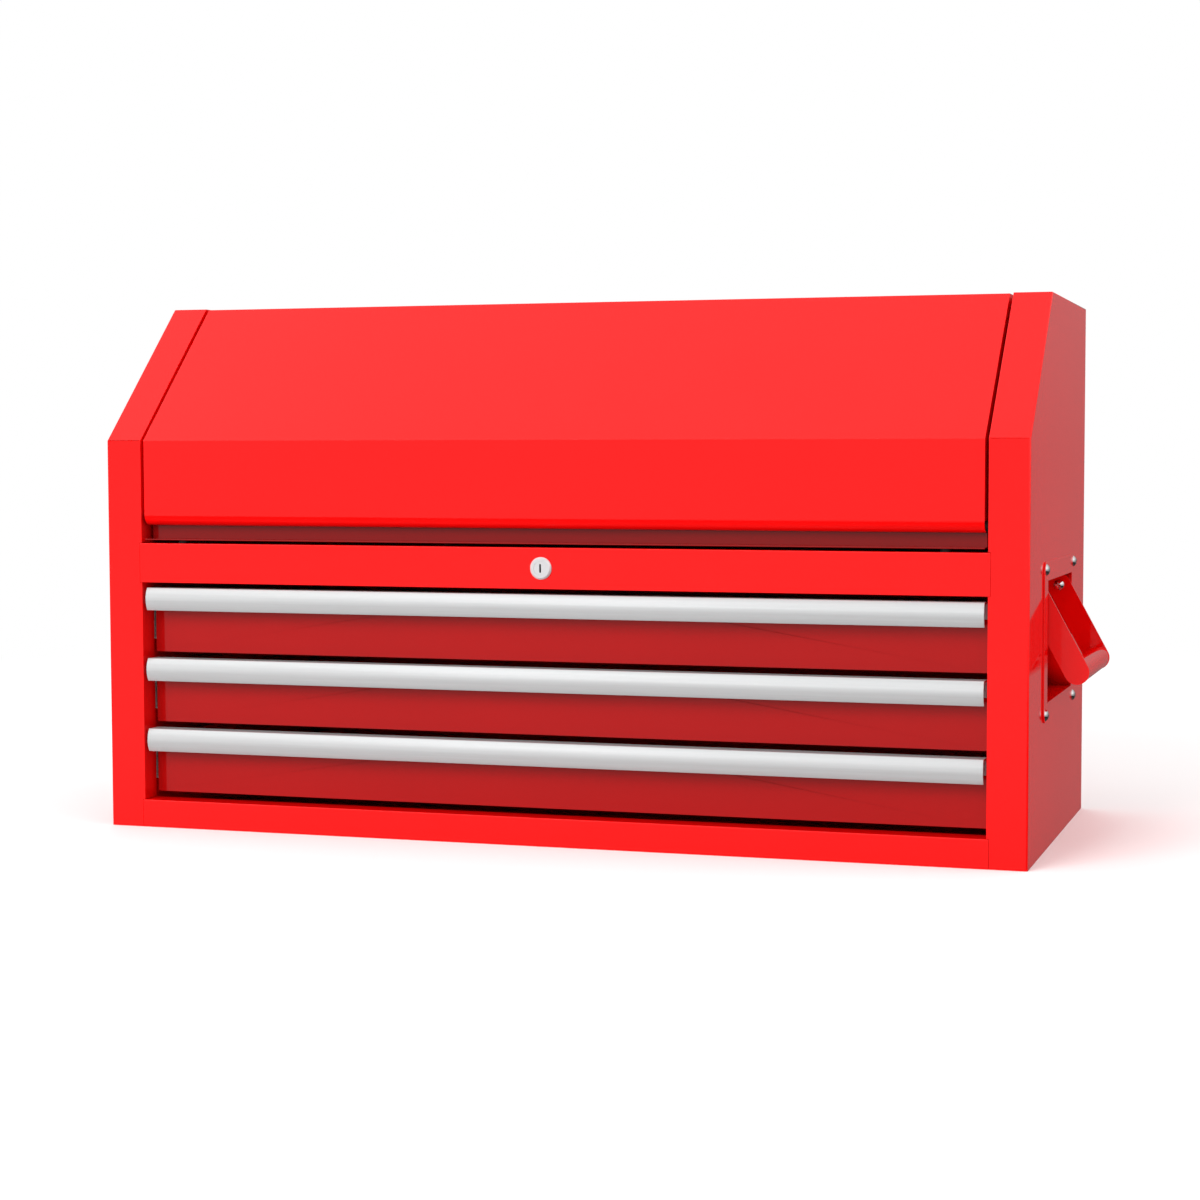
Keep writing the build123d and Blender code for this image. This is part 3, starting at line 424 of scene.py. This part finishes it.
def ball_profile(radius):
    """Half-circle profile for a lathe, pole to pole."""
    steps = range(1, BALL_PROFILE_STEPS)
    angles = [math.pi * step / BALL_PROFILE_STEPS - math.pi / 2 for step in steps]
    ring = [(radius * math.cos(a), radius * math.sin(a)) for a in angles]
    return [(0.0, -radius), *ring, (0.0, radius)]


def add_cage(shape, middle_x, height, start, radius):
    """One strip with its balls, running back from start."""
    wide = CAGE_WIDTH / 2
    thin = CAGE_SHEET / 2
    outline = [(-wide, -thin), (wide, -thin), (wide, thin), (-wide, thin)]
    add_prism(
        shape, outline, lambda a, b, t: (middle_x + a, t, height + b), start, start + CAGE_LENGTH
    )
    pitch = (CAGE_LENGTH - 2 * CAGE_END) / (BALL_COUNT - 1)
    for index in range(BALL_COUNT):
        place = (middle_x, start + CAGE_END + index * pitch, height)
        add_lathe(shape, ball_profile(radius), facing(place, (0, 0, 1)), steps=10)


def make_cages(level):
    """Ball cages of one drawer's two slides; all of them stay inside the middle members."""
    outer_low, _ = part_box("slide_outer_right")
    mid_low, mid_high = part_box(f"slide_mid_{level}")
    inner_low, inner_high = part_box(f"slide_inner_{level}")
    centre = (mid_low[2] + mid_high[2]) / 2
    mid_half = (mid_high[2] - mid_low[2]) / 2
    inner_half = (inner_high[2] - inner_low[2]) / 2
    outer_half = mid_half + RACE_GAP
    middle_x = (outer_low[0] + inner_high[0]) / 2
    races = (
        (outer_half, mid_half, mid_high[1] - CAGE_END - CAGE_LENGTH),
        (mid_half - SLIDE_FLANGE, inner_half, mid_low[1] + CAGE_END),
    )
    shape = bmesh.new()
    for wide, narrow, start in races:
        radius = (wide - narrow) / 2 - BALL_CLEARANCE
        for side in (-1, 1):
            for end in (-1, 1):
                height = centre + end * (wide + narrow) / 2
                add_cage(shape, side * middle_x, height, start, radius)
    finish_piece(f"slide_cages_{level}", shape, BODY_OF[f"slide_mid_{level}"], "zinc_steel")


# Blind rivets of the piano hinge, one row through each leaf.
RIVET_PROFILE = (
    (0.0, 0.45 * MM), (0.9 * MM, 0.45 * MM), (1.1 * MM, 1.0 * MM), (1.9 * MM, 1.05 * MM),
    (2.8 * MM, 0.75 * MM), (3.3 * MM, 0.3 * MM), (3.3 * MM, 0.0), (0.0, 0.0),
)
RIVET_COUNT = 14
RIVET_END = 28.0 * MM
RIVET_ROW = 9.0 * MM
LEAF_SHEET = 1.2 * MM


def make_hinge_rivets(leaf, face_axis, row_axis):
    """A row of rivet heads on a leaf's inner face; the axes are 0, 1, 2 for X, Y, Z."""
    low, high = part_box(leaf)
    flat = high[face_axis] - LEAF_SHEET
    pitch = (high[0] - low[0] - 2 * RIVET_END) / (RIVET_COUNT - 1)
    shape = bmesh.new()
    for index in range(RIVET_COUNT):
        place = [low[0] + RIVET_END + index * pitch, 0.0, 0.0]
        place[face_axis] = flat
        place[row_axis] = low[row_axis] + RIVET_ROW
        direction = [0.0, 0.0, 0.0]
        direction[face_axis] = -1.0
        add_lathe(shape, RIVET_PROFILE, facing(place, direction))
    finish_piece(f"{leaf}_rivets", shape, BODY_OF[leaf], "zinc_steel")


for level in ("top", "middle", "bottom"):
    make_drawer_beads(level)
    make_cages(level)
make_hinge_rivets("hinge_case_leaf", face_axis=1, row_axis=2)
make_hinge_rivets("hinge_lid_leaf", face_axis=2, row_axis=1)


# ---- stage, lights and camera -------------------------------------------------------------------
FLOOR_SEEN = (0.93, 0.93, 0.93)
FLOOR_BOUNCE = (0.68, 0.68, 0.68)
FLOOR_FADE_START = 0.9
FLOOR_FADE_END = 2.2
WORLD_FRONT = (
    (-1.0, 0.08), (-0.32, 0.0), (-0.12, 0.45), (0.10, 0.50),
    (0.24, 0.95), (0.55, 1.15), (0.93, 0.68),
)
WORLD_BEHIND = (
    (-1.0, 0.08), (-0.40, 0.02), (-0.14, 0.18), (0.0, 0.20), (0.15, 0.30), (0.50, 0.55), (0.80, 0.70)
)


def camera_ray(tree):
    """1 for what the camera sees directly, 0 for what lights or reflects."""
    return tree.nodes.new("ShaderNodeLightPath").outputs["Is Camera Ray"]


def make_floor():
    """A wide pale floor that runs out into white; reflections look past it to the world."""
    bpy.ops.mesh.primitive_plane_add(size=80.0, location=(0.0, 0.0, -0.2 * MM))
    floor = bpy.context.object
    floor.name = "floor"
    floor.visible_glossy = False
    material, tree, shader = new_material("pale_floor")
    tree.links.new(
        blend_colours(tree, camera_ray(tree), FLOOR_BOUNCE, FLOOR_SEEN), shader.inputs["Base Color"]
    )
    shader.inputs["Roughness"].default_value = 0.8
    shader.inputs["Specular IOR Level"].default_value = 0.1
    reach = tree.nodes.new("ShaderNodeVectorMath")
    reach.operation = "LENGTH"
    tree.links.new(object_coords(tree), reach.inputs[0])
    fade = spread(tree, reach.outputs["Value"], 0.0, 1.0, FLOOR_FADE_START, FLOOR_FADE_END)
    seen_fade = tree.nodes.new("ShaderNodeMath")
    seen_fade.operation = "MULTIPLY"
    tree.links.new(fade, seen_fade.inputs[0])
    tree.links.new(camera_ray(tree), seen_fade.inputs[1])
    glow = tree.nodes.new("ShaderNodeEmission")
    blend = tree.nodes.new("ShaderNodeMixShader")
    tree.links.new(seen_fade.outputs["Value"], blend.inputs["Fac"])
    tree.links.new(shader.outputs["BSDF"], blend.inputs[1])
    tree.links.new(glow.outputs["Emission"], blend.inputs[2])
    tree.links.new(blend.outputs["Shader"], tree.nodes["Material Output"].inputs["Surface"])
    floor.data.materials.append(material)


def world_ramp(tree, height, stops):
    """Grey level by height from -1 to 1: stops are (height, level) pairs."""
    ramp = tree.nodes.new("ShaderNodeValToRGB")
    points = ramp.color_ramp.elements
    while len(points) < len(stops):
        points.new(1.0)
    for point, (place, level) in zip(points, stops):
        point.position = (place + 1.0) / 2.0
        point.color = (level, level, level, 1.0)
    tree.links.new(spread(tree, height, 0.0, 1.0, -1.0, 1.0), ramp.inputs["Fac"])
    return ramp.outputs["Color"]


def make_world():
    """White surroundings, dimmer as a light: bright high in front, dim behind, dark below."""
    world = bpy.data.worlds.new("studio")
    bpy.context.scene.world = world
    world.use_nodes = True
    tree = world.node_tree
    background = tree.nodes["Background"]
    coords = tree.nodes.new("ShaderNodeTexCoord")
    axes = tree.nodes.new("ShaderNodeSeparateXYZ")
    tree.links.new(coords.outputs["Generated"], axes.inputs["Vector"])
    front = world_ramp(tree, axes.outputs["Z"], WORLD_FRONT)
    behind = world_ramp(tree, axes.outputs["Z"], WORLD_BEHIND)
    around = tree.nodes.new("ShaderNodeMix")
    around.data_type = "RGBA"
    depth = spread(tree, axes.outputs["Y"], 0.0, 1.0, -0.3, 0.6)
    tree.links.new(depth, around.inputs["Factor"])
    tree.links.new(front, around.inputs["A"])
    tree.links.new(behind, around.inputs["B"])
    seen = tree.nodes.new("ShaderNodeMix")
    seen.data_type = "RGBA"
    tree.links.new(camera_ray(tree), seen.inputs["Factor"])
    tree.links.new(around.outputs["Result"], seen.inputs["A"])
    seen.inputs["B"].default_value = (1.0, 1.0, 1.0, 1.0)
    tree.links.new(seen.outputs["Result"], background.inputs["Color"])


def area_light(name, place, target, size, power):
    """A soft square light aimed at a point, too diffuse to show in the gloss."""
    light = bpy.data.lights.new(name, "AREA")
    light.energy = power
    light.size = size
    holder = bpy.data.objects.new(name, light)
    holder.location = place
    aim = Vector(target) - Vector(place)
    holder.rotation_euler = aim.to_track_quat("-Z", "Y").to_euler()
    holder.visible_glossy = False
    bpy.context.scene.collection.objects.link(holder)


def make_camera():
    """The view: right of centre, a little above the middle of the case."""
    data = bpy.data.cameras.new("camera")
    data.lens = 67.85
    data.sensor_width = 36.0
    data.shift_x = -0.0872
    data.shift_y = -0.0054
    data.clip_end = 200.0
    camera = bpy.data.objects.new("camera", data)
    camera.location = (0.7448, -2.1740, 0.3625)
    camera.rotation_euler = (math.radians(90.0 - 3.353), 0.0, math.radians(16.457))
    bpy.context.scene.collection.objects.link(camera)
    bpy.context.scene.camera = camera


make_floor()
make_world()
make_camera()
MIDDLE = (0.0, 0.0, 0.25)
area_light("key", (-1.4, -3.6, 1.9), MIDDLE, 2.6, 133.0)
area_light("side", (3.2, 0.3, 1.6), MIDDLE, 2.0, 31.0)
area_light("rear", (-1.6, 3.4, 2.2), MIDDLE, 2.4, 27.0)
area_light("top", (0.0, 0.2, 3.2), MIDDLE, 2.6, 20.0)
bpy.context.scene.view_settings.view_transform = "Standard"
